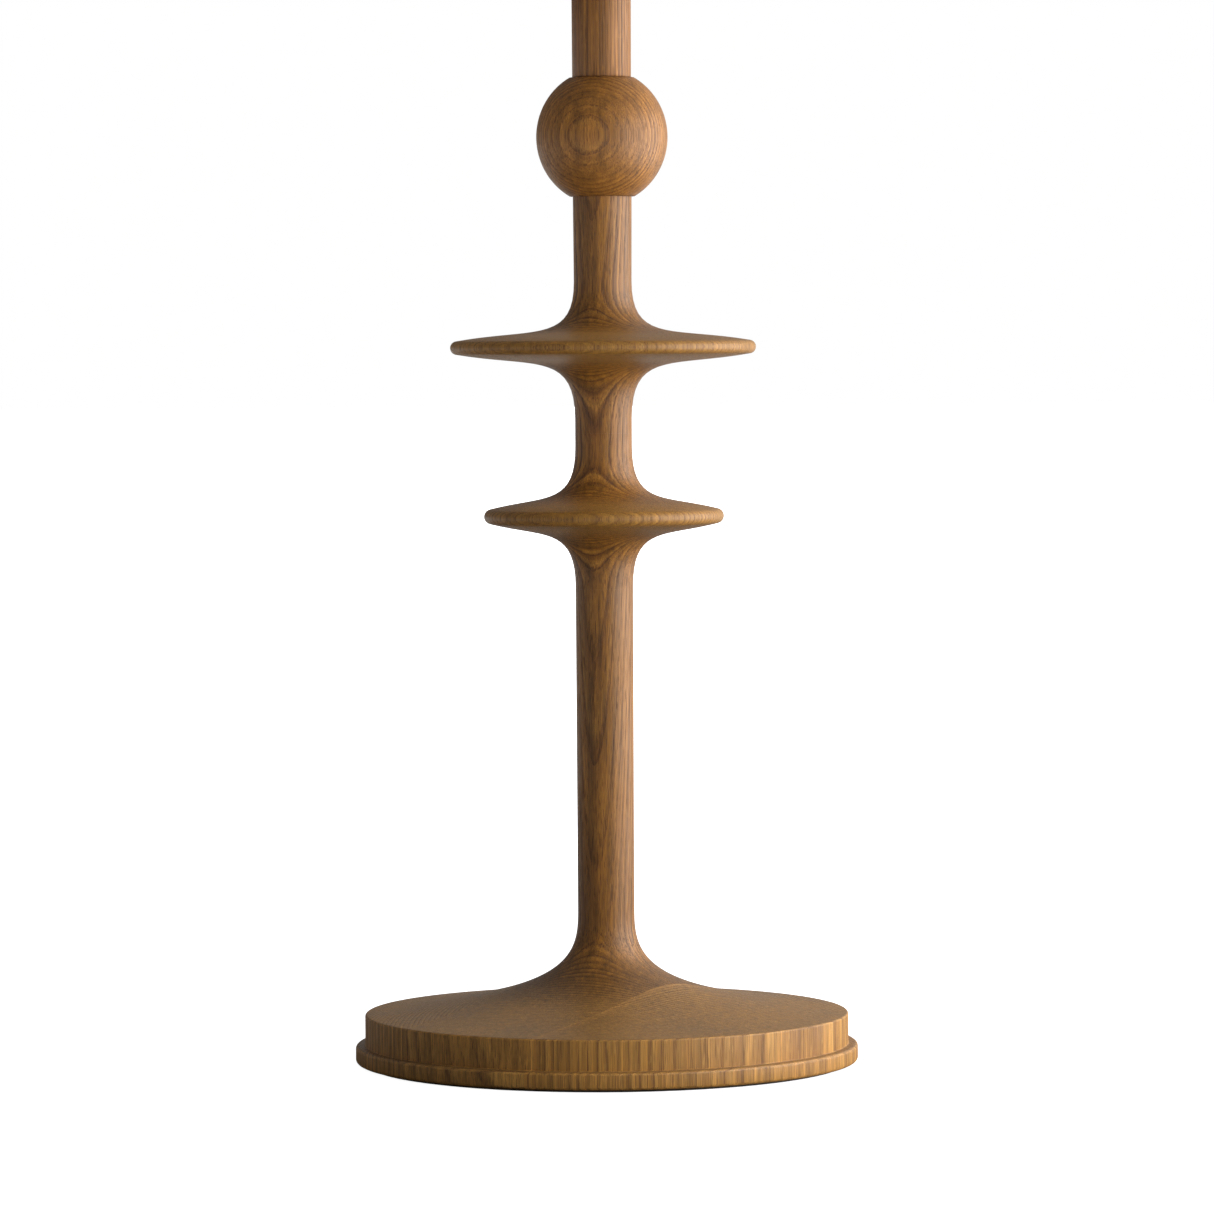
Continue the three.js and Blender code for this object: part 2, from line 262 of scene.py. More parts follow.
def sweep(outer, stem, form, side, steps=18):
    """The hollow curve from a face's outer end to the stem; side is 1 above, -1 below."""
    reach = form.face_pull * (outer.x - stem.x)
    hold = form.stem_pull * abs(stem.z - outer.z)
    leaving = outer + reach * at(-math.cos(form.face_angle), side * math.sin(form.face_angle))
    arriving = stem - at(0, side * hold)
    return interpolate_bezier(outer, leaving, arriving, stem, steps)


def arc(centre, radius_x, radius_z, start, end, steps):
    """Points along part of an ellipse."""
    turns = [start + (end - start) * i / steps for i in range(steps + 1)]
    return [centre + at(radius_x * math.cos(t), radius_z * math.sin(t)) for t in turns]


def rounded(corner, size, start, end, steps=5):
    """A quarter-round edge of one size at an outline's corner, between two bearings."""
    middle = corner - size * at(
        math.copysign(1, round(math.cos(start) + math.cos(end), 6)),
        math.copysign(1, round(math.sin(start) + math.sin(end), 6)),
    )
    return arc(middle, size, size, start, end, steps)


def nose_end(rim, height, form, side):
    """Where a rim's round nose meets its upper (1) or lower (-1) face."""
    return at(
        rim - form.nose * (1 - math.sin(form.face_angle)),
        height + side * form.nose * math.cos(form.face_angle),
    )


def deselect_all():
    """Leaves object mode with nothing selected."""
    if bpy.context.object and bpy.context.object.mode != "OBJECT":
        bpy.ops.object.mode_set(mode="OBJECT")
    bpy.ops.object.select_all(action="DESELECT")


def activate(piece):
    """Leaves object mode with one piece selected and active."""
    deselect_all()
    piece.select_set(True)
    bpy.context.view_layer.objects.active = piece


def edit_all():
    """Enters edit mode with everything selected."""
    bpy.ops.object.mode_set(mode="EDIT")
    bpy.ops.mesh.select_all(action="SELECT")


def weld(distance=WELD):
    """Merges, in edit mode, the vertices that lie within a distance of each other."""
    bpy.ops.mesh.select_all(action="SELECT")
    bpy.ops.mesh.remove_doubles(threshold=distance)


def close_up():
    """Faces a closed mesh outwards and leaves edit mode."""
    bpy.ops.mesh.select_all(action="SELECT")
    bpy.ops.mesh.normals_make_consistent(inside=False)
    bpy.ops.object.mode_set(mode="OBJECT")


def apply_modifier(piece, name, kind, **fields):
    """Adds a modifier to a piece, sets its fields and applies it."""
    activate(piece)
    modifier = piece.modifiers.new(name, kind)
    for field, value in fields.items():
        setattr(modifier, field, value)
    bpy.ops.object.modifier_apply(modifier=modifier.name)


def begin(name):
    """A one-vertex object at the origin, in edit mode, made from a plane."""
    deselect_all()
    bpy.ops.mesh.primitive_plane_add(size=MM)
    piece = bpy.context.object
    piece.name = name
    piece.data.name = name
    edit_all()
    bpy.ops.mesh.merge(type="CENTER")
    return piece


def draw(outline, closed=False):
    """Extrudes a lone vertex from point to point along an outline."""
    bpy.ops.transform.translate(value=outline[0])
    onward = outline[1:] + outline[:1] if closed else outline[1:]
    for here, there in zip(outline, onward):
        bpy.ops.mesh.extrude_region_move(TRANSFORM_OT_translate={"value": there - here})
    weld()


def turn(name, outline, steps, closed=False):
    """Draws an outline and spins it once about the axis."""
    piece = begin(name)
    draw(outline, closed)
    bpy.ops.mesh.spin(steps=steps, angle=FULL_TURN, center=(0, 0, 0), axis=(0, 0, 1))
    weld()
    close_up()
    return piece


def break_edges(piece, width):
    """Sands the sharp edges of a piece with an applied bevel."""
    apply_modifier(
        piece, "Edge break", "BEVEL", width=width, segments=2, limit_method="ANGLE",
        angle_limit=math.radians(40),
    )


def smooth(piece):
    """Smooth shading that stays crisp at the piece's corners."""
    activate(piece)
    bpy.ops.object.shade_smooth_by_angle(angle=math.radians(35))


def select_vertices(piece, wanted):
    """Enters edit mode with only the vertices selected whose place passes a test."""
    bpy.context.view_layer.objects.active = piece
    bpy.ops.object.mode_set(mode="EDIT")
    bpy.ops.mesh.select_all(action="DESELECT")
    bpy.ops.mesh.select_mode(type="VERT")
    bpy.ops.object.mode_set(mode="OBJECT")
    for vertex in piece.data.vertices:
        vertex.select = wanted(vertex.co)
    bpy.ops.object.mode_set(mode="EDIT")


def taper_end(piece, side, depth, share_left):
    """Extrudes the upper (1) or lower (-1) end of a piece and draws it in to a chamfer."""
    end = max(side * vertex.co.z for vertex in piece.data.vertices)
    select_vertices(piece, lambda co: side * co.z > end - SLIVER)
    bpy.ops.mesh.extrude_region_move(TRANSFORM_OT_translate={"value": (0, 0, side * depth)})
    bpy.ops.transform.resize(value=(share_left, share_left, 1))
    bpy.ops.object.mode_set(mode="OBJECT")


def finish_piece(piece, material, node, body=STICK):
    """Gives a piece its material and smooth shading, sets it on its body and hides the node that it
    stands for.
    """
    piece.data.materials.clear()
    piece.data.materials.append(material)
    smooth(piece)
    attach(piece, body)
    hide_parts(node)


def span(node):
    """A node's lowest and highest point, and its radius."""
    low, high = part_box(node)
    return low.z, high.z, high.x


def dowel_hole(end, inwards):
    """The outline of a dowel hole at a section's end, from the axis to the end face."""
    stem = settings().stem
    floor = end + inwards * stem.dowel_hole_depth
    return [at(0, floor), at(stem.dowel_hole, floor), at(stem.dowel_hole, end)]


# ---------------------------------------------------------------- node building


def feed(tree, node, inputs):
    """Links or sets inputs of a node."""
    for name, value in inputs.items():
        if isinstance(value, bpy.types.NodeSocket):
            tree.links.new(value, node.inputs[name])
        else:
            node.inputs[name].default_value = value
    return node


def add_node(tree, kind, inputs=None, **fields):
    """Adds a shader node of a kind, sets its fields, and feeds its inputs."""
    made = tree.nodes.new("ShaderNode" + kind)
    for field, value in fields.items():
        setattr(made, field, value)
    return feed(tree, made, inputs or {})


def maths(tree, operation, first, second=0.0, third=0.0):
    """The result of one math node."""
    return add_node(
        tree, "Math", {0: first, 1: second, 2: third}, operation=operation
    ).outputs[0]


def vector_maths(tree, operation, inputs):
    """The outputs of one vector math node."""
    return add_node(tree, "VectorMath", inputs, operation=operation).outputs


def separate(tree, vector):
    """A vector's X, Y and Z."""
    return add_node(tree, "SeparateXYZ", {"Vector": vector}).outputs


def combine(tree, x=0.0, y=0.0, z=0.0):
    """A vector from its X, Y and Z."""
    return add_node(tree, "CombineXYZ", {"X": x, "Y": y, "Z": z}).outputs[0]


def from_axis(tree, parts):
    """How far a separated vector lies from the upright axis."""
    return vector_maths(tree, "LENGTH", {0: combine(tree, parts["X"], parts["Y"])})["Value"]


def blend_colours(tree, factor, first, second, mode="MIX"):
    """The result of mixing two colours."""
    inputs = {0: factor, 6: first, 7: second}
    mix = add_node(tree, "Mix", inputs, data_type="RGBA", blend_type=mode)
    return mix.outputs[2]


def tinted(tree, tone, tint):
    """A tone multiplied by a tint."""
    return blend_colours(tree, 1.0, tone, tint, "MULTIPLY")


def stretched(tree, vector, across, along):
    """A vector scaled by one number across the grain and another along it."""
    inputs = {"Vector": vector, "Scale": (across, across, along)}
    return add_node(tree, "Mapping", inputs).outputs["Vector"]


def noise(tree, vector, scale=1.0, detail=2.0, roughness=0.5):
    """A noise value from 0 to 1 along a vector."""
    inputs = {"Vector": vector, "Scale": scale, "Detail": detail, "Roughness": roughness}
    return add_node(tree, "TexNoise", inputs).outputs["Fac"]


def fade(tree, value, low, high, to_low=0.0, to_high=1.0):
    """A value's smooth rise between two limits."""
    inputs = {
        "Value": value, "From Min": low, "From Max": high, "To Min": to_low, "To Max": to_high,
    }
    made = add_node(tree, "MapRange", inputs, interpolation_type="SMOOTHSTEP")
    return made.outputs["Result"]


def ramp(tree, factor, stops):
    """A colour ramp's colour; stops are (place, colour)."""
    made = add_node(tree, "ValToRGB", {"Fac": factor})
    elements = made.color_ramp.elements
    while len(elements) < len(stops):
        elements.new(0.5)
    for element, (place, value) in zip(elements, stops):
        element.position = place
        element.color = value
    return made.outputs["Color"]


def part_way(start, end, progress):
    """The colour reached after a share of the way from one colour to another."""
    return [a + (b - a) * progress for a, b in zip(start, end)]


def opaque(rgb):
    """A colour with full alpha."""
    return (*rgb, 1.0)


def grey(value):
    """A grey with full alpha."""
    return (value, value, value, 1.0)


def new_group(name, inputs, outputs):
    """An empty shader node group with named sockets; each is (name, kind, default)."""
    tree = bpy.data.node_groups.new(name, "ShaderNodeTree")
    for socket, kind, default in inputs:
        made = tree.interface.new_socket(socket, in_out="INPUT", socket_type="NodeSocket" + kind)
        if default is not None:
            made.default_value = default
    for socket, kind in outputs:
        tree.interface.new_socket(socket, in_out="OUTPUT", socket_type="NodeSocket" + kind)
    entry = tree.nodes.new("NodeGroupInput")
    leave = tree.nodes.new("NodeGroupOutput")
    return tree, entry.outputs, leave.inputs


def use_group(tree, name, inputs):
    """Places a named group in a tree."""
    made = add_node(tree, "Group", node_tree=bpy.data.node_groups[name])
    return feed(tree, made, inputs).outputs


def new_material(name):
    """A material with an empty tree, its principled shader and its object coordinates."""
    material = bpy.data.materials.new(name)
    material.use_nodes = True
    tree = material.node_tree
    shader = tree.nodes["Principled BSDF"]
    place = tree.nodes.new("ShaderNodeTexCoord").outputs["Object"]
    return material, tree, shader, place


def dress(tree, shader, tone, dull, height, depth):
    """Feeds a shader its colour, its roughness and the height of its surface."""
    relief = add_node(tree, "Bump", {"Height": height, "Distance": depth, "Strength": 1.0})
    inputs = {"Base Color": tone, "Roughness": dull, "Normal": relief.outputs["Normal"]}
    feed(tree, shader, inputs)


# ---------------------------------------------------------------- shared effects


def growth_rings_group():
    """Growth rings about an upright pith: where a point lies in its ring, and which ring."""
    tree, given, result = new_group(
        "Growth rings",
        [
            ("Vector", "Vector", None),
            ("Ring Width", "Float", 0.0018),
            ("Boundary", "Float", 0.1),
            ("Wander", "Float", 0.0005),
        ],
        [
            ("Phase", "Float"), ("Ring", "Float"), ("Bands", "Float"), ("Bearing", "Float"),
            ("Distance", "Float"),
        ],
    )
    parts = separate(tree, given["Vector"])
    distance = from_axis(tree, parts)
    slow = noise(tree, stretched(tree, given["Vector"], 38, 9), detail=1.0)
    quick = noise(tree, stretched(tree, given["Vector"], 520, 30), detail=3.0, roughness=0.6)
    stray = maths(tree, "MULTIPLY_ADD", quick, 0.35, slow)
    stray = maths(tree, "SUBTRACT", stray, 0.675)
    stray = maths(tree, "MULTIPLY", stray, given["Wander"])
    strayed = maths(tree, "MULTIPLY_ADD", stray, 2.0, distance)
    beyond = maths(tree, "SUBTRACT", strayed, given["Boundary"])
    rings = maths(tree, "DIVIDE", beyond, given["Ring Width"])
    tree.links.new(maths(tree, "FRACT", rings), result["Phase"])
    number = maths(tree, "FLOOR", rings)
    chance = add_node(tree, "TexWhiteNoise", {"W": number}, noise_dimensions="1D")
    tree.links.new(chance.outputs["Value"], result["Ring"])
    layers = combine(
        tree,
        maths(tree, "MULTIPLY", strayed, 2400),
        maths(tree, "MULTIPLY", parts["X"], 30),
        maths(tree, "MULTIPLY", parts["Z"], 12),
    )
    tree.links.new(noise(tree, layers, roughness=0.65), result["Bands"])
    bearing = maths(tree, "ARCTAN2", parts["Y"], parts["X"])
    tree.links.new(bearing, result["Bearing"])
    tree.links.new(distance, result["Distance"])


def wood_pores_group():
    """Fine long marks of the grain: open pores, fibres and broad streaks."""
    tree, given, result = new_group(
        "Wood pores",
        [("Vector", "Vector", None), ("Phase", "Float", 0.0), ("Size", "Float", 0.0004)],
        [("Pores", "Float"), ("Fibres", "Float"), ("Streaks", "Float")],
    )
    across = maths(tree, "DIVIDE", 1.0, given["Size"])
    sized = vector_maths(tree, "SCALE", {0: given["Vector"], "Scale": across})["Vector"]
    coarse = noise(tree, stretched(tree, sized, 1.3, 0.024), detail=1.0, roughness=0.6)
    fine = noise(tree, stretched(tree, sized, 2.0, 0.04), detail=1.0, roughness=0.6)
    young = fade(tree, given["Phase"], 0.38, 0.05, 0.0, 0.09)
    wide = fade(tree, maths(tree, "ADD", coarse, young), 0.58, 0.66)
    thin = fade(tree, maths(tree, "ADD", fine, young), 0.58, 0.68)
    pores = maths(tree, "MAXIMUM", wide, maths(tree, "MULTIPLY", thin, 0.7))
    tree.links.new(pores, result["Pores"])
    fibres = noise(tree, stretched(tree, sized, 0.8, 0.008), detail=3.0, roughness=0.75)
    tree.links.new(fibres, result["Fibres"])
    streaks = noise(tree, stretched(tree, sized, 0.15, 0.0016), roughness=0.6)
    tree.links.new(streaks, result["Streaks"])


def turning_marks_group():
    """Faint rings that a gouge and sandpaper leave around a turned piece."""
    tree, given, result = new_group(
        "Turning marks",
        [("Vector", "Vector", None), ("Pitch", "Float", 0.0006)],
        [("Marks", "Float"), ("Radius", "Float")],
    )
    parts = separate(tree, given["Vector"])
    radius = from_axis(tree, parts)
    section = combine(tree, x=radius, z=parts["Z"])
    often = maths(tree, "DIVIDE", 1.0, given["Pitch"])
    lines = vector_maths(tree, "SCALE", {0: section, "Scale": often})["Vector"]
    tree.links.new(noise(tree, lines, roughness=0.6), result["Marks"])
    tree.links.new(radius, result["Radius"])


def handling_group():
    """Soft cloudy patches where hands, oil and dust have dulled a surface."""
    tree, given, result = new_group(
        "Handling", [("Vector", "Vector", None), ("Scale", "Float", 30.0)], [("Patches", "Float")]
    )
    cloud = noise(tree, given["Vector"], given["Scale"], detail=4.0, roughness=0.55)
    tree.links.new(fade(tree, cloud, 0.35, 0.7), result["Patches"])


def turned_oak_group():
    """Oiled oak: ring tones, pores, fibres, rays and greyer end grain, whose tint on the base also
    paints a grey sheen on the top faces.
    """
    tree, given, result = new_group(
        "Turned oak",
        [
            ("Vector", "Vector", None),
            ("Place", "Vector", None),
            ("Facing", "Vector", None),
            ("Ring Width", "Float", 0.0018),
            ("Boundary", "Float", 0.1),
            ("Wander", "Float", 0.0005),
            ("Figure", "Float", 1.0),
            ("Tint", "Color", grey(1.0)),
            ("End Grain", "Color", grey(1.0)),
        ],
        [("Colour", "Color"), ("Roughness", "Float"), ("Height", "Float")],
    )
    oak = settings().oak
    rings = use_group(
        tree,
        "Growth rings",
        {key: given[key] for key in ("Vector", "Ring Width", "Boundary", "Wander")},
    )
    grain = use_group(tree, "Wood pores", {"Vector": given["Vector"], "Phase": rings["Phase"]})
    tone = ring_tone(tree, oak, rings, given["Figure"])
    for value, strength in ((rings["Bands"], 0.85), (grain["Streaks"], 1.5)):
        tone = modulated(tree, tone, value, maths(tree, "MULTIPLY", given["Figure"], strength))
    tone = modulated(tree, tone, grain["Fibres"], 1.3)
    upright = separate(tree, given["Facing"])["Z"]
    end_grain = fade(tree, maths(tree, "ABSOLUTE", upright), 0.55, 0.97)
    plain = maths(tree, "MULTIPLY", end_grain, 0.12)
    tone = blend_colours(tree, plain, tone, opaque(oak.warm))
    rays = ray_mask(tree, rings, given["Vector"])
    tone = blend_colours(tree, maths(tree, "MULTIPLY", rays, 0.3), tone, opaque(oak.pale))
    mottle = noise(tree, given["Vector"], 1500.0, detail=3.0, roughness=0.75)
    cut = maths(tree, "MULTIPLY", end_grain, 1.7)
    tone = modulated(tree, tone, mottle, cut)
    # Faces that look up or down take the End Grain tint; on the base its grey-blue is a painted
    # sheen as well as greyer end grain.
    tone = blend_colours(tree, end_grain, tone, tinted(tree, tone, given["End Grain"]))
    pores = maths(tree, "MULTIPLY", grain["Pores"], 0.6)
    tone = blend_colours(tree, pores, tone, opaque(oak.pore))
    patches = use_group(tree, "Handling", {"Vector": given["Place"], "Scale": 22.0})["Patches"]
    clouding = maths(tree, "MULTIPLY_ADD", end_grain, 0.14, 0.1)
    tone = modulated(tree, tone, patches, clouding)
    tree.links.new(tinted(tree, tone, given["Tint"]), result["Colour"])
    dull = maths(tree, "MULTIPLY_ADD", grain["Pores"], 0.2, 0.41)
    dull = maths(tree, "MULTIPLY_ADD", patches, 0.06, dull)
    tree.links.new(dull, result["Roughness"])
    marks = use_group(tree, "Turning marks", {"Vector": given["Place"]})["Marks"]
    height = maths(tree, "MULTIPLY_ADD", marks, 0.3, 0.8)
    height = maths(tree, "MULTIPLY_ADD", grain["Fibres"], 0.2, height)
    height = maths(tree, "SUBTRACT", height, maths(tree, "MULTIPLY", grain["Pores"], 0.5))
    tree.links.new(height, result["Height"])


def modulated(tree, tone, value, strength):
    """A tone made lighter where a value is over a half, and darker where it is under."""
    offset = maths(tree, "SUBTRACT", value, 0.5)
    level = maths(tree, "MULTIPLY_ADD", offset, strength, 1.0)
    return vector_maths(tree, "SCALE", {0: tone, "Scale": level})["Vector"]


def ring_tone(tree, oak, rings, figure):
    """Golden wood between the dark edges of a ring, each ring a little different."""
    stops = [
        (0.0, opaque(oak.dark)),
        (0.14, opaque(part_way(oak.dark, oak.warm, 0.5))),
        (0.32, opaque(part_way(oak.warm, oak.pale, 0.55))),
        (0.58, opaque(oak.warm)),
        (0.86, opaque(part_way(oak.warm, oak.dark, 0.5))),
        (1.0, opaque(oak.dark)),
    ]
    figured = ramp(tree, rings["Phase"], stops)
    contrast = maths(tree, "MULTIPLY", fade(tree, rings["Ring"], 0.1, 0.9, 0.2, 1.0), figure)
    tone = blend_colours(tree, contrast, opaque(oak.warm), figured)
    return modulated(tree, tone, rings["Ring"], 0.12)


def ray_mask(tree, rings, vector):
    """Thin ribbons of ray cells that run out from the pith."""
    ribbons = combine(
        tree,
        maths(tree, "MULTIPLY", rings["Bearing"], 150),
        maths(tree, "MULTIPLY", rings["Distance"], 55),
        maths(tree, "MULTIPLY", separate(tree, vector)["Z"], 160),
    )
    return fade(tree, noise(tree, ribbons, detail=1.0), 0.63, 0.72)


# ---------------------------------------------------------------- materials


def oak_material(
    name, bearing, distance, boundary, lean=0.0, width=None, wander=None, figure=1.0,
    tint=(1.0, 1.0, 1.0), rim_tint=None, rim_figure=0.55, rim=(16 * MM, 42 * MM),
    seam=None, end_grain=None,
):
    """Oak whose pith stands at a bearing (clockwise from straight behind) and a distance.

    lean tips the pith away from the axis with height; boundary is how far from the pith one
    growth ring ends; figure is how strongly the grain shows. rim_tint and rim_figure take over
    between the two rim radii, and seam is the bearing and offset of a golden glue line.
    end_grain tints faces cut across; the base's end-grain tint is partly greyer end grain and partly
    a painted grey sheen on its top faces.
    """
    oak = settings().oak
    material, tree, shader, place = new_material(name)
    away = Vector((math.sin(bearing), math.cos(bearing), 0.0))
    inputs = {
        "Vector": place,
        "Location": away * distance,
        "Rotation": Euler((-lean * away.y, lean * away.x, 0.0)),
    }
    about_pith = add_node(tree, "Mapping", inputs, vector_type="TEXTURE").outputs[0]
    facing = tree.nodes.new("ShaderNodeTexCoord").outputs["Normal"]
    tinting = opaque(tint)
    if rim_tint:
        radius = use_group(tree, "Turning marks", {"Vector": place})["Radius"]
        tinting = blend_colours(tree, fade(tree, radius, *rim), tinting, opaque(rim_tint))
        figure = fade(tree, radius, *rim, figure, rim_figure)
    if seam:
        tinting = blend_colours(tree, seam_glow(tree, place, *seam), tinting, opaque(SEAM_TINT))
    wood = use_group(
        tree,
        "Turned oak",
        {
            "Vector": about_pith,
            "Place": place,
            "Facing": facing,
            "Ring Width": width or oak.ring_width,
            "Boundary": boundary,
            "Wander": oak.wander if wander is None else wander,
            "Figure": figure,
            "Tint": tinting,
            "End Grain": opaque(end_grain or oak.end_grain),
        },
    )
    dress(tree, shader, wood["Colour"], wood["Roughness"], wood["Height"], 0.05 * MM)
    shader.inputs["IOR"].default_value = 1.47
    return material


def seam_glow(tree, place, bearing, offset):
    """A soft band of paler wood beside a glue line at a bearing and an offset."""
    square = (math.cos(bearing), math.sin(bearing), 0.0)
    along = vector_maths(tree, "DOT_PRODUCT", {0: place, 1: square})["Value"]
    near = maths(tree, "ABSOLUTE", maths(tree, "SUBTRACT", along, offset))
    return fade(tree, near, 0.0, 5.0 * MM, 0.55, 0.0)


def beech_material():
    """Pale close-grained dowel wood with short dark flecks."""
    material, tree, shader, place = new_material("Beech dowel")
    grain = noise(tree, stretched(tree, place, 2200, 60), detail=3.0)
    flecks = fade(tree, noise(tree, stretched(tree, place, 1500, 220), detail=1.0), 0.62, 0.7)
    tone = ramp(tree, grain, [(0.3, (0.46, 0.27, 0.13, 1)), (0.7, (0.66, 0.45, 0.26, 1))])
    tone = blend_colours(tree, maths(tree, "MULTIPLY", flecks, 0.5), tone, (0.3, 0.14, 0.06, 1))
    dress(tree, shader, tone, maths(tree, "MULTIPLY_ADD", grain, 0.15, 0.55), grain, 0.08 * MM)
    return material


def brass_material():
    """Spun brass: fine lathe rings, and tarnish gathering in soft patches."""
    metal = settings().metal
    material, tree, shader, place = new_material("Spun brass")
    marks = use_group(tree, "Turning marks", {"Vector": place, "Pitch": 0.00025})["Marks"]
    patches = use_group(tree, "Handling", {"Vector": place, "Scale": 140.0})["Patches"]
    aged = maths(tree, "MULTIPLY", patches, 0.45)
    tone = blend_colours(tree, aged, opaque(metal.brass), opaque(metal.tarnish))
    lines = ramp(tree, marks, [(0.3, grey(0.88)), (0.7, grey(1.08))])
    dull = maths(tree, "MULTIPLY_ADD", marks, 0.14, 0.2)
    dull = maths(tree, "MULTIPLY_ADD", patches, 0.18, dull)
    dress(tree, shader, tinted(tree, tone, lines), dull, marks, 0.03 * MM)
    shader.inputs["Metallic"].default_value = 1.0
    return material


def steel_material():
    """Zinc-plated steel with a mottled spangle."""
    metal = settings().metal
    material, tree, shader, place = new_material("Zinc plated steel")
    cells = add_node(
        tree, "TexVoronoi", {"Vector": place, "Scale": 900.0}, feature="F1"
    ).outputs["Color"]
    spangle = add_node(tree, "SeparateColor", {"Color": cells}).outputs[0]
    patches = use_group(tree, "Handling", {"Vector": place, "Scale": 260.0})["Patches"]
    shade = ramp(tree, spangle, [(0.0, grey(0.85)), (1.0, grey(1.08))])
    tone = tinted(tree, opaque(metal.steel), shade)
    dull = maths(tree, "MULTIPLY_ADD", patches, 0.2, 0.3)
    dress(tree, shader, tone, dull, spangle, 0.02 * MM)
    shader.inputs["Metallic"].default_value = 1.0
    return material


def felt_material():
    """Matted dark wool with paler stray fibres."""
    material, tree, shader, place = new_material("Wool felt")
    matted = noise(tree, place, 2600, detail=5.0, roughness=0.75)
    stray = noise(tree, stretched(tree, place, 1500, 4000), detail=2.0)
    tone = ramp(tree, matted, [(0.3, (0.055, 0.046, 0.040, 1)), (0.75, (0.125, 0.104, 0.090, 1))])
    wisps = maths(tree, "MULTIPLY", fade(tree, stray, 0.62, 0.75), 0.5)
    tone = blend_colours(tree, wisps, tone, (0.22, 0.185, 0.16, 1))
    dress(tree, shader, tone, maths(tree, "MULTIPLY_ADD", matted, 0.1, 0.88), matted, 0.4 * MM)
    shader.inputs["Sheen Weight"].default_value = 0.35
    shader.inputs["Sheen Roughness"].default_value = 0.5
    return material


def floor_material():
    """Matt pale floor with a little light of its own, like a lit sheet of paper."""
    look = settings().stage
    material, tree, shader, place = new_material("Pale floor")
    mottle = noise(tree, place, 3.0)
    shade = ramp(tree, mottle, [(0.0, grey(0.985)), (1.0, grey(1.0))])
    tone = tinted(tree, opaque(look.floor), shade)
    seen = tree.nodes.new("ShaderNodeLightPath").outputs["Is Camera Ray"]
    tone = blend_colours(tree, seen, tinted(tree, tone, grey(look.floor_dimming)), tone)
    tree.links.new(tone, shader.inputs["Base Color"])
    shader.inputs["Roughness"].default_value = 0.95
    shader.inputs["Specular IOR Level"].default_value = 0.1
    shader.inputs["Emission Color"].default_value = (1, 1, 1, 1)
    away = vector_maths(tree, "LENGTH", {0: place})["Value"]
    bounce = fade(tree, away, 0.35, 1.2, 0.0, look.floor_bounce)
    glow = maths(tree, "MULTIPLY_ADD", seen, look.floor_glow, bounce)
    tree.links.new(glow, shader.inputs["Emission Strength"])
    return material


# ---------------------------------------------------------------- operators


class CANDLESTICK_OT_effects(bpy.types.Operator):
    """Build the shader groups that the materials share"""

    bl_idname = "candlestick.effects"
    bl_label = "Shared Effects"

    def execute(self, context):
        growth_rings_group()
        wood_pores_group()
        turning_marks_group()
        handling_group()
        turned_oak_group()
        return {"FINISHED"}


class CANDLESTICK_OT_base(bpy.types.Operator):
    """Turn the stepped base and part it into its glued blocks"""

    bl_idname = "candlestick.base"
    bl_label = "Base Blocks"

    def outline(self):
        base = settings().base
        stem = settings().stem
        low, high, _ = span("base_centre_block")
        high += stem.closing
        ledge = span("base_right_block")[2]
        step = low + base.ledge_height
        rim = step + base.wall_height
        floor = high - stem.tenon_length - MM
        recess = low + base.counterbore_depth
        tenon_hole = stem.tenon + CLEARANCE
        nick = 0.3 * MM
        face_start = at(base.wall_radius - base.wall_edge, rim)
        face = sweep(face_start, at(stem.base_neck, high), base, 1, 48)
        return [
            at(base.counterbore, low),
            at(0.6 * ledge, low),
            *rounded(at(ledge, low), base.ledge_edge, -QUARTER_TURN, 0),
            *rounded(at(ledge, step), base.ledge_edge, 0, QUARTER_TURN),
            at(base.wall_radius + nick, step),
            at(base.wall_radius, step + nick),
            *rounded(at(base.wall_radius, rim), base.wall_edge, 0, QUARTER_TURN),
            *face[1:],
            at(tenon_hole, high),
            at(tenon_hole, floor),
            at(base.screw_hole, floor),
            at(base.screw_hole, recess),
            at(base.counterbore, recess),
        ]

    def block(self, name, cuts, material):
        """One block: the whole base, cut along glue lines given as (offset, keep side)."""
        base = settings().base
        piece = turn(name, self.outline(), WIDE_STEPS, closed=True)
        activate(piece)
        bpy.ops.object.mode_set(mode="EDIT")
        square = Vector((math.cos(base.block_bearing), math.sin(base.block_bearing), 0))
        for offset, keep in cuts:
            bpy.ops.mesh.select_all(action="SELECT")
            bpy.ops.mesh.bisect(
                plane_co=square * offset, plane_no=square * keep, use_fill=True, clear_inner=True,
            )
        close_up()
        finish_piece(piece, material, name)

    def execute(self, context):
        half = settings().base.block_width / 2
        centre = oak_material(
            "Oak, centre block", **SPINDLE_BOARD, figure=1.15, rim_tint=BASE_TINT,
            rim_figure=0.9, rim=(18 * MM, 60 * MM), end_grain=BASE_END_GRAIN_AND_SHEEN,
        )
        bearing = settings().base.block_bearing
        right = oak_material(
            "Oak, right block", math.radians(-54), 95 * MM, 0.1252, width=1.75 * MM,
            wander=0.35 * MM, figure=0.9, tint=BASE_TINT, seam=(bearing, half),
            end_grain=BASE_END_GRAIN_AND_SHEEN,
        )
        left = oak_material(
            "Oak, left block", math.radians(126), 90 * MM, 0.1202, width=1.9 * MM, figure=0.9,
            tint=BASE_TINT, end_grain=BASE_END_GRAIN_AND_SHEEN,
        )
        self.block("base_centre_block", [(-half + GLUE, 1), (half - GLUE, -1)], centre)
        self.block("base_right_block", [(half + GLUE, 1)], right)
        self.block("base_left_block", [(-half - GLUE, -1)], left)
        return {"FINISHED"}


